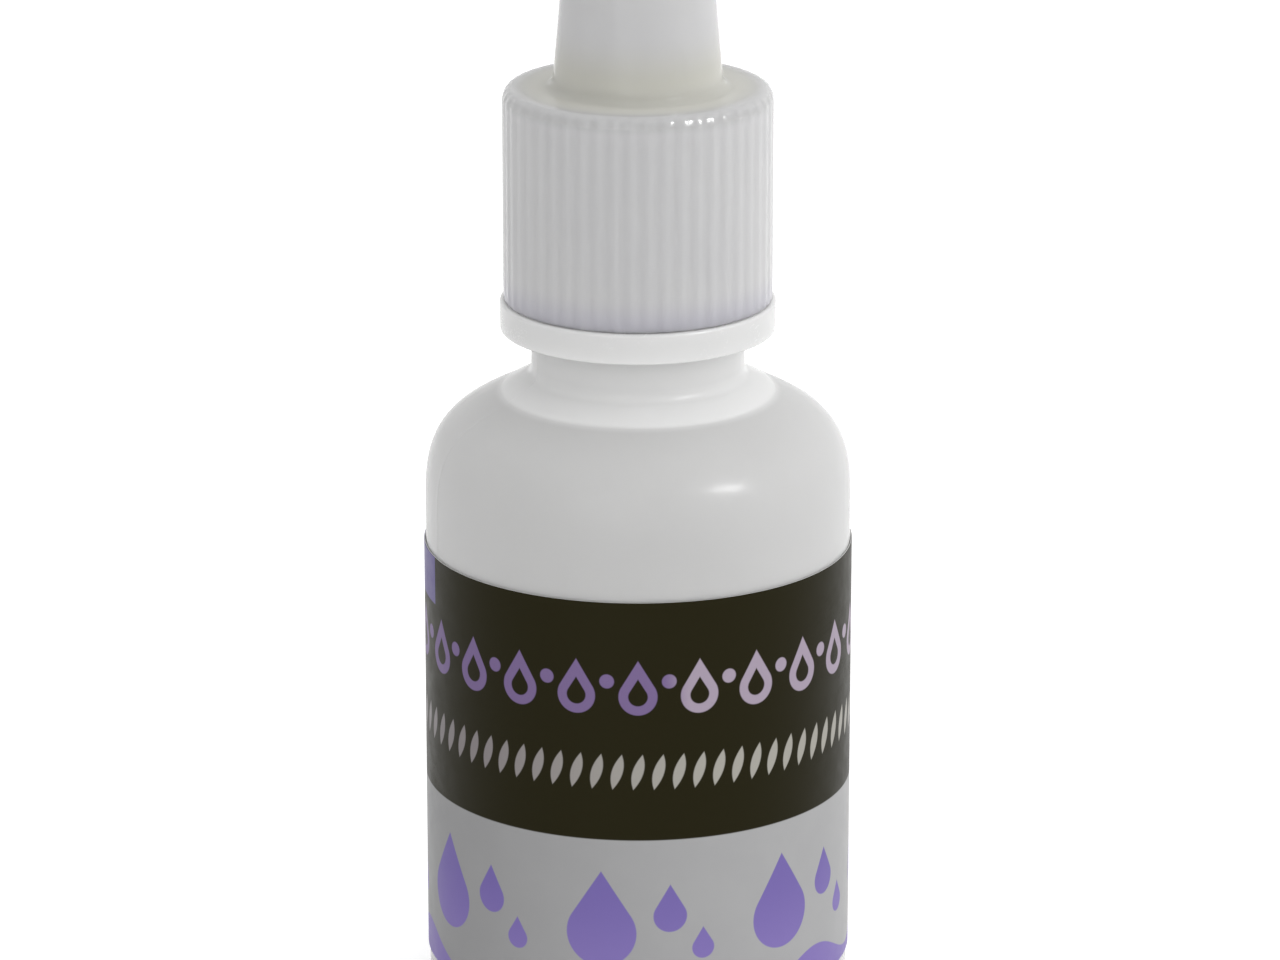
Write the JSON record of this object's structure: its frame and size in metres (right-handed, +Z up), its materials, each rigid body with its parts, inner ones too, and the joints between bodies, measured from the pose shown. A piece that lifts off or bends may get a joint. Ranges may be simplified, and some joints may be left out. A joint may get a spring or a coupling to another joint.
{
  "type": "eye drop bottle",
  "caption": "Small squeeze bottle for eye drops: pressed-in dropper nozzle, ribbed screw cap with a tapered tower, tamper ring and wraparound label.",
  "frame": {"origin": "on the bottle's axis, in the plane of the foot ring that it stands on", "axes": "+Z up along the bottle's axis, towards the cap; -Y is the front of the label"},
  "size_m": [0.0282, 0.0282, 0.0753],
  "materials": {
    "milky_bottle_plastic": "milky low-density polyethylene, soft sheen",
    "natural_plug_plastic": "natural polyethylene, soft sheen",
    "milky_cap_plastic": "milky polypropylene, soft sheen",
    "natural_ring_plastic": "pale polypropylene, smooth",
    "label_film": "printed film, dark band over light grey, with lilac motifs"
  },
  "bodies": {
    "bottle": {"bottle": "milky_bottle_plastic", "dropper_plug": "natural_plug_plastic", "label": "label_film"},
    "ring": {"tamper_ring": "natural_ring_plastic"},
    "cap": {"screw_cap": "milky_cap_plastic"}
  },
  "joints": [
    {"name": "cap_turn", "type": "hinge", "parent": "bottle", "child": "ring", "pos_m": [0, 0, 0.0474], "axis": [0, 0, 1], "range_deg": [0, 900]},
    {"name": "cap_rise", "type": "slide", "parent": "ring", "child": "cap", "axis": [0, 0, 1], "range_m": [0, 0.0053]}
  ],
  "couplings": [
    {"joint": "cap_rise", "follows": "cap_turn", "m_per_rad": 0.00033693}
  ]
}
